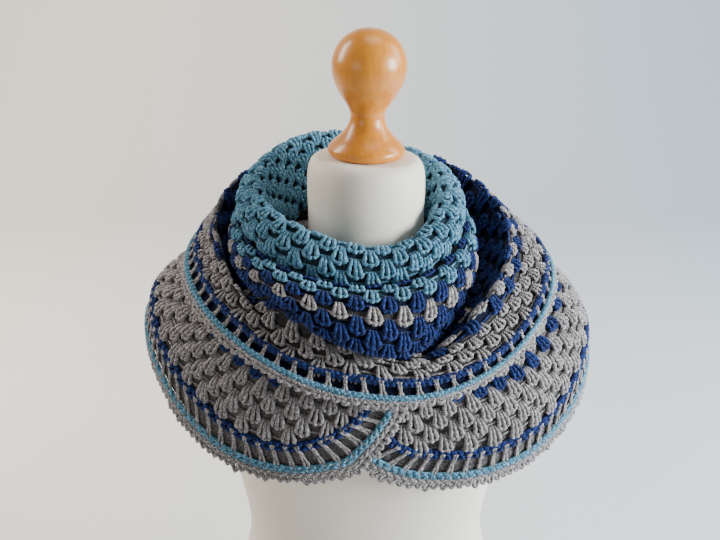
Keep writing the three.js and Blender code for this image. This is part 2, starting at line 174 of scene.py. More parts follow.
# Azimuths of the clusters on the lower stretches, counted from the front.
PITCHES = table("cluster az", [(0, 0), (8.5, 54.5), (9.5, 62), (10.5, 71), (11.5, 81), (14, 105), (22.3, 180),
                               (30.7, 256)])

# Sections of the dress form.
FORM = table("z side front back power", [
    (0, 166, 104, 116, 2.3), (60, 171, 107, 122, 2.3), (130, 168, 106, 118, 2.3),
    (210, 145, 98, 98, 2.25), (285, 127, 94, 84, 2.2), (350, 136, 108, 88, 2.2),
    (410, 150, 126, 94, 2.2), (450, 157, 128, 98, 2.2), (490, 162, 116, 100, 2.3),
    (520, 165, 104, 98, 2.25), (540, 162, 94, 93, 2.15), (554, 153, 84, 85, 2.1),
    (565, 135, 75, 78, 2.05), (577, 108, 68, 72, 2), (588, 82, 64, 67, 2), (598, 66, 60.5, 62, 2),
    (609, 60.3, 59, 60, 2), (635, 58.5, 58, 58.5, 2), (662, 59, 59, 59, 2),
    (684, 58.5, 58.5, 58.5, 2), (694, 56, 56, 56, 2), (699, 51, 51, 51, 2), (700, 45, 45, 45, 2),
])
# Top of the neck, how many degrees it leans to the right and the height where that starts, and the gap
# between it and the finial.
NECK_TOP, NECK_LEAN, LEAN_FROM, FINIAL_GAP = 700, 1.8, 640, 0.3

# Turned profile of the finial.
FINIAL = table("radius height", [
    (0, 0), (33, 0), (36.2, 1.6), (38.2, 5), (38, 8.6), (33.8, 14), (26.4, 21), (19.8, 29.5),
    (17.1, 38), (17.6, 44.5), (21.4, 52), (28, 62), (34, 74), (36.6, 86), (36.2, 96), (32, 107.5),
    (24, 117.5), (12, 124), (0, 126),
])

SKEW_SCALE = 2.6  # brings the highest value of sin az (cos az)^2 up to 1

# Levels on the wound cloth: outer chain and depth of the ladder, start of the backing of painted shade, which
# darkens the ladder's gaps, and first row.
HEM_LEVEL, LADDER, FACE_LEVEL, BORDER_LEVEL = 10, 17, 12, 30
LEAST_PACE = 0.42  # pace of cloth below which a row needs the room of the next one
FACE = (-0.4, -1.8)  # heights of the two sides of the backing of painted shade

# Standard deviations of hand work: place along a row as a share of half a pitch, level in millimetres,
# bulk as a share of a strand's radius and lean as a share of a stitch's width.
UNEVEN_AZ, UNEVEN_LEVEL, UNEVEN_BULK, UNEVEN_LEAN = 0.04, 0.5, 0.05, 0.05

# A cluster: its widest half, shares of that half that its feet, its heads past the feet and its lip reach,
# how far heads and feet are tucked past lips, and how high and thick the chain between two lips is.
WIDEST_HALF = 13
FOOT_SPREAD, HEAD_SPREAD, LIP_SPREAD = 0.2, 0.27, 0.6
HEAD_TUCK, FOOT_TUCK = 1.2, 3.5
LINK_RISE, LINK_RADIUS = 4, 1.1

# Rows of chain on the border: yarn, depth as a share of the ladder, share of the chain's radius, and half
# the gap between its ropes. Then where a picot starts and how far it reaches.
CHAINS = [("navy", 1.0, 1.4, 0.14), ("teal", 0.02, 1.15, 0.1), ("grey", -0.24, 0.85, 0.08)]
PICOT_FOOT, PICOT_REACH = -0.36, 0.22

# Rows on the lower stretches, the navy ones, the first one's distance from the border, the drop above
# which the wound hem hides them, and the azimuths where the bottom edge starts and a tip's climb ends.
LOWER_ROWS, LOWER_NAVY = 9, (4, 6, 7, 8)
FIRST_ROW, HIDDEN_DROP = 5.5, 2
BOTTOM_FROM, TIP_WITHIN = 20, 22

# Lighter and darker fibres of each yarn.
FIBRES = [
    ((0.58, 0.55, 0.545), (0.16, 0.145, 0.145)),
    ((0.03, 0.07, 0.3), (0.004, 0.007, 0.03)),
    ((0.25, 0.5, 0.67), (0.05, 0.13, 0.19)),
]

# Lamps, in metres: name, place, how far behind the neck it is aimed, width, power in watts and colour.
LAMPS = [
    ("Window", (1.9, -0.55, 0.98), 0, 0.9, 100, (0.9, 0.96, 1.0)),
    ("Lamp", (-1.6, -2.0, 1.1), 0, 1.2, 10, (1.0, 0.94, 0.86)),
    ("Ceiling", (0.3, 0.1, 2.4), 0, 1.0, 10, (1.0, 0.98, 0.95)),
    ("Left wash", (-1.6, 0.6, 1.6), 2.8, 1.2, 80, (1.0, 0.95, 0.87)),
    ("Right wash", (1.8, 0.6, 1.5), 2.8, 1.2, 42, (0.9, 0.97, 1.0)),
]
AIM_HEIGHT = 0.55


# ---------- cloth surfaces ----------
def ring_points(rings, az):
    """Rings by azimuths by xyz. x = (right - left) / 2 + ((right + left) / 2 + out) sin az, y is the same
    with back, front and -cos az, and z runs smoothly through the four heights, moved by skew and presses.
    A press fades as exp(-away^2 / (2 spread^2))."""
    s, c = np.sin(np.radians(az)), np.cos(np.radians(az))
    left, right, front, back, zf, zr, zb, zl, skew = (rings[n][:, None] for n in RING.split()[1:])
    out, up = np.zeros((2, len(rings["ring"]), len(az)))
    for i, name in enumerate(rings["ring"]):
        for middle, spread, push, lift in PRESSES.get(name, ()):
            away = (az - middle + 180) % 360 - 180
            share = np.exp(-0.5 * (away / spread) ** 2)
            out[i] += push * share
            up[i] += lift * share
    x = (right - left) / 2 + ((right + left) / 2 + out) * s
    y = (back - front) / 2 - ((back + front) / 2 + out) * c
    z = (zf + zr + zb + zl) / 4 + (zf - zb) / 2 * c + (zr - zl) / 2 * s
    z = z + (zf + zb - zr - zl) / 4 * (c * c - s * s) + skew * SKEW_SCALE * s * c * c + up
    return np.stack([x, y, z], -1)


def centripetal(knots, steps):
    """Centripetal Catmull-Rom curve through the first axis, with its ends carried straight on."""
    padded = np.concatenate([2 * knots[:1] - knots[1:2], knots, 2 * knots[-1:] - knots[-2:-1]])
    gap = np.maximum(np.linalg.norm(np.diff(padded, axis=0), axis=-1, keepdims=True) ** 0.5, 1e-4)
    p0, p1, p2, p3 = padded[:-3], padded[1:-2], padded[2:-1], padded[3:]
    d0, d1, d2 = gap[:-2], gap[1:-1], gap[2:]
    t1 = ((p1 - p0) / d0 - (p2 - p0) / (d0 + d1) + (p2 - p1) / d1) * d1
    t2 = ((p2 - p1) / d1 - (p3 - p1) / (d1 + d2) + (p3 - p2) / d2) * d1
    w = (np.arange(steps) / steps).reshape(1, -1, *[1] * (knots.ndim - 1))
    p1, p2, t1, t2 = (a[:, None] for a in (p1, p2, t1, t2))
    curve = p1 + t1 * w + (3 * (p2 - p1) - 2 * t1 - t2) * w**2 + (2 * (p1 - p2) + t1 + t2) * w**3
    return np.concatenate([curve.reshape(-1, *knots.shape[1:]), knots[-1:]])


def arc_length(points, axis=0):
    """Length of a run of points up to each of them."""
    steps = np.linalg.norm(np.diff(points, axis=axis), axis=-1)
    return np.cumsum(np.insert(steps, 0, 0, axis), axis)


def unit(vectors):
    """Vectors with a length of one."""
    return vectors / np.maximum(np.linalg.norm(vectors, axis=-1, keepdims=True), 1e-9)


def level_of(name, levels=LEVELS):
    """Function for the level of a listed ring at an azimuth, straight between the listed azimuths."""
    row = levels["ring"].index(name)
    pins = [levels[n][row] for n in levels if n != "ring"]
    return lambda az: np.interp(az % 360, np.arange(0, 361, 45), [*pins, pins[0]])


class Cloth:
    """A surface read by azimuth and level. Without levels of its own, a level is the length of cloth down
    from the first ring."""

    STEPS = 12  # of the curve from ring to ring
    COLUMNS = 240  # of the grid round the neck
    SUNK = 2.8  # how far inside the surface a height of 0 lies

    def __init__(self, rings, levels=None):
        az = np.linspace(-180, 180, self.COLUMNS + 1)
        curve = centripetal(ring_points(rings, az), self.STEPS)
        arc = level = arc_length(curve)
        if levels is not None:
            level = self.shared_out(rings, levels, az, arc)
            curve, level, arc = curve[::-1], level[::-1], arc[::-1]
        self.top = level.max(0)
        self.levels = np.arange(0, level.max() + 1)
        mesh = [[np.interp(self.levels, lv, c) for c in (*p.T, a)]
                for p, lv, a in zip(curve.transpose(1, 0, 2), level.T, arc.T)]
        mesh = np.array(mesh).transpose(2, 0, 1)
        points = mesh[..., :3]
        along = np.gradient(points, axis=0) * (1 if levels is not None else -1)
        around = np.gradient(points, axis=1)
        around[:, [0, -1]] = (points[:, 1:2] - points[:, -2:-1]) / 2
        normal = unit(np.cross(around, along))
        pace = np.abs(np.gradient(mesh[..., 3], axis=0))[..., None]
        self.grid = np.concatenate([points, normal, pace], -1)

    def shared_out(self, rings, levels, az, arc):
        """Levels down each section: given at the listed rings, and shared out evenly over the length of
        cloth between them."""
        known = [rings["ring"].index(n) * self.STEPS for n in levels["ring"]]
        pins = [level_of(n, levels)(az) for n in levels["ring"]]
        return np.stack([np.interp(a, a[known], p) for a, *p in zip(arc.T, *pins)], 1)

    def read(self, az, level):
        """Point, normal and pace, which is the length of cloth to a millimetre of level, straight between
        the four nearest places of the grid."""
        az, level = np.broadcast_arrays(az, level)
        i = (az + 180) % 360 / 360 * self.COLUMNS
        j = np.clip(level, 0, len(self.levels) - 1.001)
        i0, j0 = np.floor(i).astype(int), np.floor(j).astype(int)
        i0 = np.minimum(i0, self.COLUMNS - 1)
        fi, fj = (i - i0)[..., None], (j - j0)[..., None]
        g = self.grid
        row = [g[j0 + k, i0] * (1 - fi) + g[j0 + k, i0 + 1] * fi for k in (0, 1)]
        out = row[0] * (1 - fj) + row[1] * fj
        return out[..., :3], out[..., 3:6], out[..., 6]

    def rim(self, az):
        """Highest level at an azimuth."""
        return np.interp((az + 180) % 360 - 180, np.linspace(-180, 180, self.COLUMNS + 1), self.top)

    def place(self, az, level, height):
        """Points raised along the normal by a height, and the normals."""
        point, normal, _ = self.read(az, level)
        return point + normal * (np.asarray(height)[..., None] - self.SUNK), normal


# ---------- yarn ----------
class Yarn:
    """Gathers tubes of yarn into one mesh with a UV map that runs along each strand."""

    def __init__(self):
        self.parts = []

    def tubes(self, centre, normal, radius, yarn, lobes, turns, sides=8):
        """Strands along rows of points. Each section is a circle whose radius swells twice round by lobes,
        and the swelling turns along the strand as plies do."""
        n, k, _ = centre.shape
        tangent = unit(np.gradient(centre, axis=1))
        side = unit(np.cross(tangent, normal))
        up = np.cross(side, tangent)
        angle = np.arange(sides) * 2 * np.pi / sides
        twist = np.linspace(0, turns * 2 * np.pi, k)
        swell = 1 + lobes * np.cos(2 * (angle[None] - twist[:, None]))
        r = np.broadcast_to(radius, (n, k))[..., None] * swell[None]
        ring = centre[:, :, None] + r[..., None] * (
            np.cos(angle)[:, None] * side[:, :, None] + np.sin(angle)[:, None] * up[:, :, None])
        first = np.arange(n * k).reshape(n, k) * sides
        j, j1 = np.arange(sides), (np.arange(sides) + 1) % sides
        a, b = first[:, :-1, None], first[:, 1:, None]
        wall = np.stack([a + j, b + j, b + j1, a + j1], -1).reshape(-1, 4)
        length = arc_length(centre, 1)
        u0, u1 = (np.broadcast_to(u[..., None], (n, k - 1, sides)) for u in (length[:, :-1], length[:, 1:]))
        v0 = np.broadcast_to(j / sides, u0.shape)
        v1 = v0 + 1 / sides
        corners = [np.stack(corner, -1) for corner in ((u0, v0), (u1, v0), (u1, v1), (u0, v1))]
        fan = end_fan(sides)
        start = (first[:, 0, None, None] + fan).reshape(-1, 4)
        end = (first[:, -1, None, None] + fan[:, ::-1]).reshape(-1, 4)
        uv = np.concatenate([np.stack(corners, 3).reshape(-1, 4, 2), np.zeros((2 * n * len(fan), 4, 2))])
        yarn = np.broadcast_to(yarn, (n,))
        ids = np.concatenate([np.repeat(yarn, (k - 1) * sides), np.tile(np.repeat(yarn, len(fan)), 2)])
        self.parts.append((ring.reshape(-1, 3), np.concatenate([wall, start, end]), uv, ids))

    def mesh(self, name, materials):
        """One object of all the strands."""
        verts, quads, uv, ids = zip(*self.parts)
        firsts = np.cumsum([0, *map(len, verts)])
        quads = np.concatenate([q + first for q, first in zip(quads, firsts)])
        return quad_object(name, np.concatenate(verts) * MM, quads, materials,
                           np.concatenate(uv), np.concatenate(ids))


def grid_quads(index):
    """Quads between neighbours in a grid of point numbers."""
    return np.stack([index[:-1, :-1], index[:-1, 1:], index[1:, 1:], index[1:, :-1]], -1).reshape(-1, 4)


def end_fan(count):
    """Quads that close a ring of so many points, all from its first point."""
    return np.array([[0, i, i + 1, i + 2] for i in range(1, count - 1, 2)])


def quad_object(name, verts, quads, materials, uv=None, ids=None):
    """A smooth mesh of quads. uv has four places to a quad, and ids its material."""
    mesh = bpy.data.meshes.new(name)
    mesh.vertices.add(len(verts))
    mesh.vertices.foreach_set("co", verts.astype(np.float32).ravel())
    mesh.loops.add(quads.size)
    mesh.polygons.add(len(quads))
    mesh.loops.foreach_set("vertex_index", quads.astype(np.int32).ravel())
    mesh.polygons.foreach_set("loop_start", np.arange(0, quads.size, 4, dtype=np.int32))
    mesh.polygons.foreach_set("use_smooth", np.ones(len(quads), bool))
    if ids is not None:
        mesh.polygons.foreach_set("material_index", ids.astype(np.int32))
    if uv is not None:
        layer = mesh.uv_layers.new(name="UVMap")
        layer.data.foreach_set("uv", uv.astype(np.float32).ravel())
    for material in materials:
        mesh.materials.append(material)
    mesh.update(calc_edges=True)
    mesh.validate()
    obj = bpy.data.objects.new(name, mesh)
    bpy.context.scene.collection.objects.link(obj)
    return obj


def clusters(yarn, cloth, places, size, seed, lift=0.0):
    """Clusters of three trebles. The feet are tucked between the lips of the row above, the heads spread
    under a lip of three loops, and a thin chain runs from lip to lip. places has a cluster's azimuth, the
    levels of its lip and of the row above, half its pitch in degrees and its yarn's number. t runs up a
    treble from 0 at its foot to 1 at its head, and along a lip or a chain."""
    rng = np.random.default_rng(seed)
    n = len(places[0])
    if n == 0:
        return
    az, low, high, half, lift = (np.broadcast_to(a, n)[:, None] for a in (*places[:4], lift))
    colour = places[4].astype(int)
    az = az + half * rng.normal(0, UNEVEN_AZ, (n, 1))
    hemward = np.sign(low - high)
    low = low + rng.normal(0, UNEVEN_LEVEL, (n, 1))
    tall = np.abs(high - low)
    middle = (low + high) / 2
    pace = np.clip(cloth.read(az, middle)[2], 0.6, 1.05)
    ends = [cloth.read(az + side * half, middle)[0] for side in (-1, 1)]
    apart = np.linalg.norm(ends[1] - ends[0], axis=-1) / 2
    room = half * np.minimum(1, WIDEST_HALF / apart)
    bulk = np.sqrt(pace) * (1 + rng.normal(0, UNEVEN_BULK, (n, 1)))
    t = np.linspace(0, 1, 7)[None]
    rise = 0.2 + 2.6 * np.sin(np.pi / 2 * t) + 0.9 * np.sin(np.pi * t)
    for leg in (-1, 0, 1):
        lean = rng.normal(0, UNEVEN_LEAN, (n, 1))
        path_az = az + room * (leg * (FOOT_SPREAD + HEAD_SPREAD * t) + lean * t)
        up_cloth = HEAD_TUCK + (tall + FOOT_TUCK) * (1 - t) + 0.9 * abs(leg) * t
        centre, normal = cloth.place(path_az, low - hemward * up_cloth, rise - 0.4 * abs(leg) * t + lift)
        radius = in_mm(size.post) * bulk * (0.72 + 0.4 * t**1.1)
        yarn.tubes(centre, normal, radius, colour, lobes=0.24, turns=1.3)
    t = np.linspace(0, 1, 13)[None]
    across = 2 * t - 1
    loops = np.abs(np.sin(3 * np.pi * t))
    path_level = low + hemward * (0.3 + 0.9 * loops - 3.6 * across**2)
    centre, normal = cloth.place(az + room * LIP_SPREAD * across, path_level,
                                 2.2 + 0.9 * loops - 1.4 * across**2 + lift)
    radius = in_mm(size.chain) * bulk * (0.66 + 0.4 * loops)
    yarn.tubes(centre, normal, radius, colour, lobes=0.15, turns=2.0, sides=6)
    t = np.linspace(0, 1, 5)[None]
    path_az = az + room * 0.5 + (2 * half - room) * t
    centre, normal = cloth.place(path_az, low - hemward * LINK_RISE + 0 * t, 0.4 + lift + 0 * t)
    yarn.tubes(centre, normal, 0 * t + LINK_RADIUS * bulk, colour, lobes=0.15, turns=1.0, sides=6)


def painted_shade_backing(name, cloth, az, level, lift, colour, materials):
    """A backing of painted shade under the stitches, for the cloth and the shade behind their gaps: a closed
    wall between the heights of FACE over a grid of azimuths and levels whose second axis runs up the cloth.
    colour numbers each cell's yarn, darkened to paint the shade."""
    layers = [cloth.place(az, level, lift + height)[0].reshape(-1, 3) for height in FACE]
    index = np.arange(az.size).reshape(az.shape)
    outer = grid_quads(index)[:, [0, 3, 2, 1]]
    loop = np.concatenate([index[:-1, 0], index[-1, :-1], index[:0:-1, -1], index[0, :0:-1]])
    after = np.roll(loop, -1)
    rim = np.stack([after, loop, loop + az.size, after + az.size], -1)
    quads = np.concatenate([outer, outer[:, ::-1] + az.size, rim])
    ids = np.concatenate([colour.ravel(), colour.ravel(), np.zeros(len(rim), int)])
    return quad_object(name, np.concatenate(layers) * MM, quads, materials, ids=ids)


def braid(yarn, place, depth, colour, size, bumps, thick, wide):
    """A row of chain along a border: two bumpy ropes side by side, out of step by half a stitch. Each bump
    is half a sine wave."""
    t = np.linspace(0, 1, bumps * 6 + 1)
    for side in (-1, 1):
        wave = np.abs(np.sin(np.pi * (bumps * t + side / 4)))
        centre, normal = place(t, depth + side * (wide - 0.04 * wave), 1.3 + 1.3 * wave)
        radius = thick * in_mm(size.chain) * (0.56 + 0.44 * wave)
        yarn.tubes(centre[None], normal[None], radius[None], colour, lobes=0.16, turns=bumps / 2)


def border(yarn, place, posts, chains, size, seed=2):
    """The border on a course that place(share, depth, height) gives, with depth 0 on the outer chain and
    1 on the inner one: the chains, grey posts of two strands bent over the inner chain, and two grey
    picots to a post, each an arch of half a sine wave."""
    rng = np.random.default_rng(seed)
    post, grey = in_mm(size.post), YARNS.index("grey")
    for colour, depth, thick, wide in CHAINS:
        braid(yarn, place, depth, YARNS.index(colour), size, chains, thick, wide)
    middle = (np.arange(posts) + 0.3)[:, None] / posts
    t = np.linspace(0, 1, 12)[None]
    for strand in (-1, 1):
        lean = rng.normal(0, UNEVEN_LEAN, (posts, 1))
        apart = 0.1 - 0.06 * np.sin(np.pi * np.clip(1.4 * t, 0, 1))
        share = middle + (strand * apart + lean * t) / posts
        depth = 1.06 - 1.12 * t + 0 * share
        height = 3.2 * np.exp(-((t / 0.3) ** 2)) + 1.2 + 2.4 * t**5
        centre, normal = place(share, depth, height + 0 * share)
        yarn.tubes(centre, normal, post * (0.74 - 0.12 * t) + 0 * share, grey, lobes=0.22, turns=1.4)
    count = posts * 2
    middle = (np.arange(count) + 0.5)[:, None] / count
    t = np.linspace(0, 1, 9)[None]
    arch = np.sin(np.pi * t)
    share = middle - (0.36 * np.cos(np.pi * t) + rng.normal(0, UNEVEN_LEAN, (count, 1))) / count
    depth = PICOT_FOOT - (PICOT_REACH + rng.normal(0, 0.06, (count, 1))) * arch
    centre, normal = place(share, depth, 1.0 + 0.8 * arch + 0 * share)
    yarn.tubes(centre, normal, post * (0.9 + 0.15 * arch) + 0 * share, grey, lobes=0.2, turns=1.2)


# ---------- materials ----------
def nodes_of(name):
    """A new node material, its node tree, its shader and the coordinates it can read."""
    material = bpy.data.materials.new(name)
    material.use_nodes = True
    tree = material.node_tree
    return material, tree, tree.nodes["Principled BSDF"], tree.nodes.new("ShaderNodeTexCoord").outputs


def add_node(tree, kind, source, values=None, into="Vector"):
    """A new node fed by a socket, with its inputs set by name."""
    new = tree.nodes.new(kind)
    set_inputs(new, values or {})
    tree.links.new(source, new.inputs[into])
    return new


def set_inputs(target, values):
    """Sets a node's inputs by name."""
    for name, value in values.items():
        target.inputs[name].default_value = value


def noise(tree, source, scale, detail):
    """Noise read at a coordinate."""
    return add_node(tree, "ShaderNodeTexNoise", source, {"Scale": scale, "Detail": detail}).outputs["Fac"]


def ramp(tree, factor, low, high, first=(0, 0, 0, 1), last=(1, 1, 1, 1)):
    """A ramp from the first colour, at a low factor, to the last one, at a high factor."""
    new = add_node(tree, "ShaderNodeValToRGB", factor, into="Fac")
    elements = new.color_ramp.elements
    elements[0].position, elements[1].position = low, high
    elements[0].color, elements[1].color = first, last
    return new.outputs["Color"]


def mix(tree, factor, first, second):
    """A colour mix whose factor and colours are sockets or values."""
    new = tree.nodes.new("ShaderNodeMix")
    new.data_type = "RGBA"
    for place, value in ((0, factor), (6, first), (7, second)):
        if isinstance(value, bpy.types.NodeSocket):
            tree.links.new(value, new.inputs[place])
        else:
            new.inputs[place].default_value = value
    return new.outputs[2]


def bump(tree, height, strength, distance, below=None):
    """A bump that stands a distance in metres, over another bump or over none."""
    new = add_node(tree, "ShaderNodeBump", height, {"Strength": strength, "Distance": distance}, "Height")
    if below is not None:
        tree.links.new(below, new.inputs["Normal"])
    return new.outputs["Normal"]


@cache
def yarn_material(name, colour, light, dark):
    """Heathered yarn: patches of a lighter fibre, flecks of a darker one, two plies that wind round each
    strand, and a soft nap."""
    material, tree, shader, coords = nodes_of(name)
    patches = ramp(tree, noise(tree, coords["Object"], 300, 3), 0.4, 0.66)
    flecks = ramp(tree, noise(tree, coords["Object"], 620, 3), 0.4, 0.6)
    base = mix(tree, patches, (*colour, 1), (*light, 1))
    tree.links.new(mix(tree, flecks, (*dark, 1), base), shader.inputs["Base Color"])
    along = add_node(tree, "ShaderNodeMapping", coords["UV"], {"Scale": (0.34, 2.0, 1)}).outputs["Vector"]
    plies = add_node(tree, "ShaderNodeTexWave", along, {"Scale": 0.9, "Distortion": 0.6})
    plies.wave_type, plies.bands_direction = "BANDS", "DIAGONAL"
    normal = bump(tree, plies.outputs["Fac"], 0.5, 0.0006)
    normal = bump(tree, noise(tree, coords["Object"], 2600, 2), 0.35, 0.0004, normal)
    tree.links.new(normal, shader.inputs["Normal"])
    set_inputs(shader, {"Roughness": 0.9, "Sheen Weight": 0.08, "Sheen Roughness": 0.5,
                        "Specular IOR Level": 0.15})
    return material


def jersey_material(colour):
    """Cream jersey: fine cells of knit and a little unevenness."""
    material, tree, shader, coords = nodes_of("Cream jersey")
    shade = tuple(c * 0.93 for c in colour)
    tone = mix(tree, noise(tree, coords["Object"], 9, 3), (*colour, 1), (*shade, 1))
    tree.links.new(tone, shader.inputs["Base Color"])
    knit = add_node(tree, "ShaderNodeTexVoronoi", coords["Object"], {"Scale": 900}).outputs["Distance"]
    tree.links.new(bump(tree, knit, 0.25, 0.0003), shader.inputs["Normal"])
    set_inputs(shader, {"Roughness": 0.62, "Sheen Weight": 0.15})
    return material


def wood_material(colour, dark):
    """Varnished wood: broad figure and fine grain, both drawn out up the finial, and a coat."""
    material, tree, shader, coords = nodes_of("Varnished turned wood")
    drawn = add_node(tree, "ShaderNodeMapping", coords["Object"],
                     {"Scale": (1, 1, 0.16), "Rotation": (0.12, 0.2, 0)}).outputs["Vector"]
    grain = mix(tree, 0.5, noise(tree, drawn, 230, 4), noise(tree, drawn, 26, 2))
    tree.links.new(ramp(tree, grain, 0.36, 0.6, (*dark, 1), (*colour, 1)), shader.inputs["Base Color"])
    set_inputs(shader, {"Roughness": 0.34, "Coat Weight": 0.22, "Coat Roughness": 0.12})
    return material


def backdrop_material(warm_light, cool_light):
    """A matt wall whose colour turns from a warm white on the left to a cool one on the right: painted light,
    the warm lamplight on the left and the cool window light on the right.
    """
    material, tree, shader, coords = nodes_of("Painted backdrop")
    split = add_node(tree, "ShaderNodeSeparateXYZ", coords["Object"])
    ends = {"From Min": -0.8, "From Max": 1}
    across = add_node(tree, "ShaderNodeMapRange", split.outputs["X"], ends, "Value")
    tone = mix(tree, across.outputs["Result"], (*warm_light, 1), (*cool_light, 1))
    tree.links.new(tone, shader.inputs["Base Color"])
    set_inputs(shader, {"Roughness": 0.9})
    return material


# ---------- settings ----------
def colour_property(name, words, default):
    """A colour that a user may change."""
    return FloatVectorProperty(name=name, description=words, subtype="COLOR", min=0, max=1, default=default)


def length_property(name, words, default, least, most):
    """A length that a user may change, from millimetres to metres."""
    return FloatProperty(name=name, description=words, unit="LENGTH", precision=4, default=default * MM,
                         min=least * MM, max=most * MM)


def in_mm(length):
    """Millimetres in a length in metres, without the rounding of single precision."""
    return round(length / MM, 4)


class ShawlSettings(PropertyGroup):
    """Sizes and colours of the yarn."""

    post: length_property("Treble", "Radius of a treble's strand", 2.1, 0.8, 3)
    chain: length_property("Chain", "Radius of a chain line", 2.1, 0.8, 3)
    row: length_property("Row", "Depth of a row of clusters down the wound cloth", 12, 8, 16)
    main_posts: IntProperty(name="Hem posts", description="Posts round the wound hem",
                            default=66, min=20, max=120)
    lower_posts: IntProperty(name="End posts", description="Posts on each lower stretch",
                             default=31, min=10, max=60)
    grey: colour_property("Grey", "Base of the grey yarn", (0.36, 0.335, 0.335))
    navy: colour_property("Navy", "Base of the navy yarn", (0.012, 0.028, 0.14))
    teal: colour_property("Teal", "Base of the teal yarn", (0.095, 0.28, 0.42))


class FormSettings(PropertyGroup):
    """Colours of the dress form."""

    jersey: colour_property("Jersey", "Cover of the form", (0.86, 0.79, 0.66))
    wood: colour_property("Wood", "Light tone of the finial", (0.76, 0.28, 0.02))
    wood_dark: colour_property("Grain", "Dark tone of the finial", (0.6, 0.19, 0.012))


class StageSettings(PropertyGroup):
    """Backdrop and camera."""

    # Both backdrop colours paint light on a white wall: the warm lamplight on the left and the cool window
    # light on the right.
    wall: colour_property("Backdrop", "Colour of the backdrop on the left", (0.86, 0.79, 0.71))
    wall_far: colour_property("Far side", "Colour of the backdrop on the right", (0.6, 0.7, 0.8))
    lens: FloatProperty(name="Lens", description="Focal length of the camera", default=57.5, unit="CAMERA")
    tilt: FloatProperty(name="Tilt", description="How far the camera looks down", subtype="ANGLE",
                        default=np.radians(20.2))


# ---------- pieces ----------
@cache
def wrap_cloth():
    """The surface of the wound cloth."""
    return Cloth(WRAP, LEVELS)


@cache
def lower_cloth():
    """The surface under the lower stretches, whose levels are drops from its top."""
    return Cloth(LOWER)


def yarn_materials(size, shade=1.0, words="heathered yarn"):
    """The three yarns, or, for a backing, a tone of them darkened by shade, which is painted shade."""
    found = []
    for yarn, fibres in zip(YARNS, FIBRES):
        colours = [tuple(c * shade for c in tone) for tone in (getattr(size, yarn), *fibres)]
        found.append(yarn_material(f"{yarn.title()} {words}", *colours))
    return found


def stripe_of(level, row_depth):
    """Number of the yarn at a level of the wound cloth, for the backing of painted shade, with navy behind
    the border, where the darkened navy paints the shade in the ladder's gaps.
    """
    edges = BORDER_LEVEL + row_depth * np.cumsum(STRIPES["rows"])
    yarns = np.array([YARNS.index(c) for c in STRIPES["yarn"]])
    stripe = yarns[np.minimum(np.searchsorted(edges, level), len(yarns) - 1)]
    return np.where(level < BORDER_LEVEL, YARNS.index("navy"), stripe)


def wrap_clusters(row_depth):
    """Every cluster of the wound cloth, in columns as clusters takes them. Where the cloth is squeezed into
    a hidden valley rows are left out, so that the rest keep their room."""
    cloth = wrap_cloth()
    found = []
    level, row = float(BORDER_LEVEL), 0
    for colour, rows, count, start in zip(*STRIPES.values()):
        for turn in range(int(rows)):
            az = (start + (np.arange(count) + 0.5 * (turn % 2)) * 360 / count + 180) % 360 - 180
            pace = cloth.read(az, level + row_depth / 2)[2]
            every = np.clip(np.ceil(LEAST_PACE / np.maximum(pace, 0.05)), 1, 6)
            keep = (row % every == 0) & (level + row_depth * 0.8 < cloth.rim(az))
            found.append(np.stack(np.broadcast_arrays(
                az, level, level + row_depth * every, 180 / count, YARNS.index(colour)), 1)[keep])
            level += row_depth
            row += 1
    return np.concatenate(found).T


def stand_in(piece, node):
    """Puts a piece in the place of a CAD node: attaches it to the root body and hides the node."""
    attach(piece, "root")
    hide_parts(node)


def finish_cloth(context, yarn, wall, name):
    """Puts the stitches and the backing of painted shade in the place of a CAD node."""
    stitches = yarn.mesh("stitches_" + name, yarn_materials(context.scene.shawl_yarn))
    for piece in (wall, stitches):
        stand_in(piece, "shawl_" + name)
    return {"FINISHED"}


def wound_piece(context, name, below, above, start=-180, turn=360, yarn=None):
    """A stretch of the wound cloth between two levels by azimuth, over a turn of azimuths. Its clusters
    join any yarn that is given."""
    size = context.scene.shawl_yarn
    cloth = wrap_cloth()
    yarn = yarn or Yarn()
    places = wrap_clusters(in_mm(size.row))
    az, middle = places[0], (places[1] + places[2]) / 2
    pick = (middle >= below(az)) & (middle < above(az)) & ((az - start) % 360 < turn)
    clusters(yarn, cloth, places[:, pick], size, len(name))
    az = start + np.linspace(0, turn, turn // 2 + 1)[:, None]
    level = below(az) + (above(az) - below(az)) * np.linspace(0, 1, 33)[None]
    colour = stripe_of((level[:-1, :-1] + level[1:, 1:]) / 2, in_mm(size.row))
    # Backing of painted shade: the yarns darkened to 0.16 stand for the shade and the shaded cloth behind the
    # gaps.
    wall = painted_shade_backing("cloth_" + name, cloth, az + 0 * level, level, 0, colour,
                      yarn_materials(size, 0.16, "inner face"))
    return finish_cloth(context, yarn, wall, name)


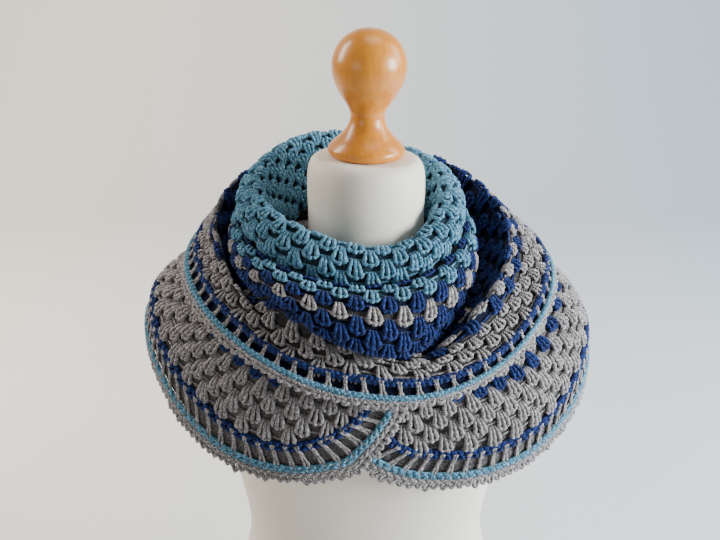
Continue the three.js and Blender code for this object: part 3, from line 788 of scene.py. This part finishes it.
class SHAWL_OT_dress_form(Operator):
    """Adds the padded body of the dress form"""

    bl_idname = "shawl.dress_form"
    bl_label = "Dress form"

    def execute(self, context):
        """x = side * sign(sin t) |sin t|^(2 / power), and y likewise with front or back, in sections that a
        smooth curve joins. The neck's top leans to the right, and both ends are closed."""
        sections = np.stack(list(FORM.values()), -1)
        z, side, front, back, power = centripetal(sections, 5).T[:, :, None]
        turn = np.linspace(0, 2 * np.pi, 144, endpoint=False)[None]
        s, c = np.sin(turn), np.cos(turn)
        x = side * np.sign(s) * np.abs(s) ** (2 / power)
        y = -np.where(c > 0, front, back) * np.sign(c) * np.abs(c) ** (2 / power)
        tilt = ease((z - LEAN_FROM) / (NECK_TOP - LEAN_FROM)) * np.tan(np.radians(NECK_LEAN)) * x
        body = np.stack([x, y, z - tilt + 0 * x], -1)
        low = np.stack([body[0] * (f, f, 0) for f in (0.02, 0.5, 0.97)])
        middle = np.array([0, 0, NECK_TOP])
        high = np.stack([body[-1] * f + middle * (1 - f) for f in (0.9, 0.5, 0.02)])
        verts, quads = closed_grid(np.concatenate([low, body, high]))
        material = jersey_material(context.scene.shawl_form.jersey)
        stand_in(quad_object("dress_form_body", verts * MM, quads, [material]), "form_torso")
        return {"FINISHED"}


def closed_grid(rows):
    """Rows of points round an axis, from the bottom up, as quads, with a flat fan of quads at each end."""
    r, n, _ = rows.shape
    index = np.arange(r * n).reshape(r, n)
    wall = grid_quads(np.concatenate([index, index[:, :1]], 1))
    fan = end_fan(n)
    return rows.reshape(-1, 3), np.concatenate([wall, fan[:, ::-1], fan + (r - 1) * n])


class SHAWL_OT_finial(Operator):
    """Adds the turned wooden finial"""

    bl_idname = "shawl.finial"
    bl_label = "Finial"

    def execute(self, context):
        """A smooth profile of radius and height turned round Z, then leant with the neck. Its foot stays
        sharp, and its two ends are closed round small circles."""
        profile = np.stack(list(FINIAL.values()), -1)
        smooth = np.concatenate([profile[:2], centripetal(profile[1:], 8)[1:]])
        smooth[[0, -1], 0] = 0.6
        turn = np.linspace(0, 2 * np.pi, 96, endpoint=False)
        r, h = smooth[:, 0, None], smooth[:, 1, None] + 0 * turn
        x, y = r * np.cos(turn), r * np.sin(turn)
        sin, cos = np.sin(np.radians(NECK_LEAN)), np.cos(np.radians(NECK_LEAN))
        rows = np.stack([x * cos + h * sin, y, h * cos - x * sin + NECK_TOP + FINIAL_GAP], -1)
        verts, quads = closed_grid(rows)
        form = context.scene.shawl_form
        material = wood_material(form.wood, form.wood_dark)
        stand_in(quad_object("turned_finial", verts * MM, quads, [material]), "form_finial")
        return {"FINISHED"}


class SHAWL_OT_neck_roll(Operator):
    """Adds the teal edge that rolls over round the neck"""

    bl_idname = "shawl.neck_roll"
    bl_label = "Neck roll"

    def execute(self, context):
        return wound_piece(context, "neck_roll",
                           level_of("valley_one"), lambda az: wrap_cloth().rim(az) - 1)


class SHAWL_OT_second_fold(Operator):
    """Adds the fold below the roll, which hangs over at the front"""

    bl_idname = "shawl.second_fold"
    bl_label = "Second fold"

    def execute(self, context):
        return wound_piece(context, "second_fold",
                           level_of("valley_two"), level_of("valley_one"))


def drape(context, name, start):
    """Half of the outer drape: its clusters below the second valley, and its share of the border."""
    size = context.scene.shawl_yarn
    yarn = Yarn()

    def place(share, depth, height):
        """A share of 1 is half a turn, and a depth of 1 the ladder's."""
        return wrap_cloth().place(start + 180 * share, HEM_LEVEL + LADDER * depth, height)

    border(yarn, place, size.main_posts // 2, size.main_posts * 3 // 2, size)
    # The backing starts at FACE_LEVEL, under the ladder, so that the ladder's gaps show painted shade.
    return wound_piece(context, name,
                       lambda az: FACE_LEVEL + 0 * az, level_of("valley_two"), start, 180, yarn)


class SHAWL_OT_drape_front(Operator):
    """Adds the front half of the outer drape"""

    bl_idname = "shawl.drape_front"
    bl_label = "Drape, front"

    def execute(self, context):
        return drape(context, "drape_front", -90)


class SHAWL_OT_drape_back(Operator):
    """Adds the back half of the outer drape"""

    bl_idname = "shawl.drape_back"
    bl_label = "Drape, back"

    def execute(self, context):
        return drape(context, "drape_back", 90)


class Course:
    """A border on the lower surface. Its shares run evenly along a smooth curve through the outer chain,
    measured at a radius of ROUND, and the inner chain and the top are read at the same knots."""

    ROUND = 200

    def __init__(self, edge, lift):
        self.lift = lift
        degree = np.pi * self.ROUND / 180
        self.lines = [
            centripetal(np.stack([edge[a] * degree, edge[d]], -1)[::-1], 24)
            for a, d in (("az", "drop"), ("inner_az", "inner_drop"), ("top_az", "top_drop"))]
        arc = arc_length(self.lines[0])
        self.share = arc / arc[-1]
        self.lines = [line / (degree, 1) for line in self.lines]

    def between(self, share, first, second, part):
        """Azimuth and drop a part of the way from one line to another. The lines are the outer chain, 0,
        the inner chain, 1, and the top, 2."""
        lines = [[np.interp(share, self.share, self.lines[k][:, c]) for c in (0, 1)] for k in (first, second)]
        return [a + (b - a) * part for a, b in zip(*lines)]

    def place(self, share, depth, height):
        """Points and normals at a share of the course, a depth from chain to chain and a height."""
        az, drop = self.between(share, 0, 1, depth)
        return lower_cloth().place(az, drop, height + crossing(az, self.lift))


def ease(t):
    """Smooth step from 0 to 1: t squared times 3 - 2 t."""
    t = np.clip(t, 0, 1)
    return t * t * (3 - 2 * t)


def crossing(az, lift):
    """How far an end moves out or in where the two cross at the front."""
    return lift * ease((CROSS_FROM - np.abs(az)) / (CROSS_FROM - CROSS_FULL))


def lower_stretch(context, name, edge, lift, row_depth, az_from, az_to, tip=0):
    """A stretch below the wound hem: its clusters, its border, and a backing of painted shade that runs from
    just inside the outer chain up to the top. tip is -1 for the left end, 1 for the right one and 0 for
    neither."""
    size = context.scene.shawl_yarn
    yarn = Yarn()
    lower_rows(yarn, edge, lift, row_depth, az_from, az_to, tip, size)
    course = Course(edge, lift)
    border(yarn, course.place, size.lower_posts, size.lower_posts * 2, size, seed=7)
    share = np.linspace(0, 1, 100)[:, None]
    az, drop = (np.concatenate(halves, 1) for halves in zip(
        course.between(share, 0, 1, np.linspace(0.1, 0.9, 5)),
        course.between(share, 1, 2, np.linspace(0, 1, 25))))
    colour = np.full(np.subtract(az.shape, 1), YARNS.index("grey"))
    # Painted shade: grey darkened to 0.4 on the backing, for the shaded things seen through the gaps.
    wall = painted_shade_backing("cloth_" + name, lower_cloth(), az, drop, crossing(az, lift), colour,
                      yarn_materials(size, 0.4, "thin inner face"))
    return finish_cloth(context, yarn, wall, name)


def lower_rows(yarn, edge, lift, row_depth, az_from, az_to, tip, size):
    """Rows of clusters parallel to a stretch's bottom edge, each half a cluster on from the last, cut off
    where the border climbs round the tip."""
    order = np.argsort(edge["inner_az"])
    inner_az, inner_drop = edge["inner_az"][order], edge["inner_drop"][order]
    bottom_edge = np.abs(inner_az) >= BOTTOM_FROM
    reach = int(PITCHES["cluster"][-1]) + 1
    for row in range(LOWER_ROWS):
        index = np.arange(-reach, reach) + 0.5 * (row % 2)
        az, az1, az2 = (np.sign(k) * np.interp(np.abs(k), *PITCHES.values())
                        for k in (index, index - 0.5, index + 0.5))
        half = (az2 - az1) / 2
        bottom = np.interp(az, inner_az[bottom_edge], inner_drop[bottom_edge])
        low = bottom - FIRST_ROW - row_depth * row
        high = low - row_depth
        keep = (az > az_from) & (az <= az_to) & (high > HIDDEN_DROP)
        if tip:
            rim = np.interp(low * 0.7 + high * 0.3, *tip_line(edge))
            keep &= tip * (az - rim) > 0.2 * half
        colour = YARNS.index("navy" if row in LOWER_NAVY else "grey") + 0 * az
        places = np.stack([az, low, high, half, colour])[:, keep]
        clusters(yarn, lower_cloth(), places, size, 6 + row, crossing(az[keep], lift))


def tip_line(edge):
    """The inner chain where it climbs round a tip, as azimuth by rising drop."""
    near = np.abs(edge["inner_az"]) < TIP_WITHIN
    drop, az = edge["inner_drop"][near], edge["inner_az"][near]
    order = np.argsort(drop)
    return drop[order], az[order]


class SHAWL_OT_right_end(Operator):
    """Adds the end that lies below at the front"""

    bl_idname = "shawl.right_end"
    bl_label = "Right end"

    def execute(self, context):
        return lower_stretch(context, "end_right", RIGHT_BORDER, RIGHT_LIFT, 12.9, 0, 105, 1)


class SHAWL_OT_left_end(Operator):
    """Adds the end that lies on top at the front"""

    bl_idname = "shawl.left_end"
    bl_label = "Left end"

    def execute(self, context):
        return lower_stretch(context, "end_left", LEFT_BORDER, LEFT_LIFT, 14.2, -105, 12, -1)


class SHAWL_OT_back_stretch(Operator):
    """Adds the stretch between the two ends, round the back"""

    bl_idname = "shawl.back_stretch"
    bl_label = "Back stretch"

    def execute(self, context):
        return lower_stretch(context, "back_stretch", BACK_BORDER, 0, 13.6, -255, -105)


def add_backdrop(stage):
    """A floor that turns up into a wall on a quarter circle."""
    front, start, radius, top, reach = -4.5, 2.0, 1.4, 4.5, 5
    bend = np.linspace(0, np.pi / 2, 24)
    y = np.concatenate([[front], start + radius * np.sin(bend), [start + radius]])
    z = np.concatenate([[0], radius * (1 - np.cos(bend)), [top]])
    x = np.linspace(-reach, reach, 12)
    rows = np.stack(np.broadcast_arrays(x[None], y[:, None], z[:, None]), -1)
    index = np.arange(rows[..., 0].size).reshape(rows.shape[:2])
    material = backdrop_material(stage.wall, stage.wall_far)
    quad_object("backdrop", rows.reshape(-1, 3), grid_quads(index), [material])


def add_room_light(scene):
    """A pale blue room, dim on the pieces and brighter where the camera sees it."""
    scene.world = bpy.data.worlds.new("Room light")
    scene.world.use_nodes = True
    tree = scene.world.node_tree
    rays = tree.nodes.new("ShaderNodeLightPath").outputs["Is Camera Ray"]
    strength = add_node(tree, "ShaderNodeMapRange", rays, {"To Min": 0.14, "To Max": 0.6}, "Value")
    background = tree.nodes["Background"]
    set_inputs(background, {"Color": (0.93, 0.96, 1.0, 1)})
    tree.links.new(strength.outputs["Result"], background.inputs["Strength"])


def add_lamps(scene):
    """Area lamps, each turned to a point straight behind the neck or on its axis."""
    for name, place, aim_y, width, power, colour in LAMPS:
        light = bpy.data.lights.new(name, "AREA")
        light.size, light.energy, light.color = width, power, colour
        lamp = bpy.data.objects.new(name, light)
        lamp.location = place
        x, y, z = np.array([0, aim_y, AIM_HEIGHT]) - place
        lamp.rotation_euler = (np.arctan2(np.hypot(x, y), -z), 0, np.arctan2(y, x) - np.pi / 2)
        scene.collection.objects.link(lamp)


def add_camera(scene, stage):
    """A camera in front of the shawl that looks down at it."""
    camera = bpy.data.cameras.new("Camera")
    camera.lens, camera.sensor_width = stage.lens, 36
    view = scene.camera = bpy.data.objects.new("Camera", camera)
    view.location = (-0.0062, -1.111, 0.988)
    view.rotation_euler = (np.pi / 2 - stage.tilt, 0, 0)
    scene.collection.objects.link(view)


class SHAWL_OT_stage(Operator):
    """Adds the backdrop, the lights and the camera"""

    bl_idname = "shawl.stage"
    bl_label = "Stage"

    def execute(self, context):
        scene = context.scene
        add_backdrop(scene.shawl_stage)
        add_room_light(scene)
        add_lamps(scene)
        add_camera(scene, scene.shawl_stage)
        return {"FINISHED"}


class SHAWL_PT_panel(Panel):
    """Lists the pieces and the stage"""

    bl_label = "Wound granny shawl"
    bl_space_type = "VIEW_3D"
    bl_region_type = "UI"
    bl_category = "Shawl"

    def draw(self, context):
        for operator in OPERATORS:
            self.layout.operator(operator.bl_idname)
        for name in GROUPS:
            group = getattr(context.scene, name)
            for key in group.bl_rna.properties.keys():
                if key not in ("rna_type", "name"):
                    self.layout.prop(group, key)


OPERATORS = (
    SHAWL_OT_dress_form,
    SHAWL_OT_finial,
    SHAWL_OT_neck_roll,
    SHAWL_OT_second_fold,
    SHAWL_OT_drape_front,
    SHAWL_OT_drape_back,
    SHAWL_OT_right_end,
    SHAWL_OT_left_end,
    SHAWL_OT_back_stretch,
    SHAWL_OT_stage,
)
GROUPS = {"shawl_yarn": ShawlSettings, "shawl_form": FormSettings, "shawl_stage": StageSettings}


def register():
    """Registers the settings, the operators and the panel."""
    for name, group in GROUPS.items():
        bpy.utils.register_class(group)
        setattr(bpy.types.Scene, name, PointerProperty(type=group))
    for item in (*OPERATORS, SHAWL_PT_panel):
        bpy.utils.register_class(item)


def unregister():
    """Takes away what register added."""
    for item in (SHAWL_PT_panel, *reversed(OPERATORS)):
        bpy.utils.unregister_class(item)
    for name, group in GROUPS.items():
        delattr(bpy.types.Scene, name)
        bpy.utils.unregister_class(group)


def main():
    """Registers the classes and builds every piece."""
    register()
    for operator in OPERATORS:
        getattr(bpy.ops.shawl, operator.bl_idname.split(".")[1])()


if __name__ == "__main__":
    main()
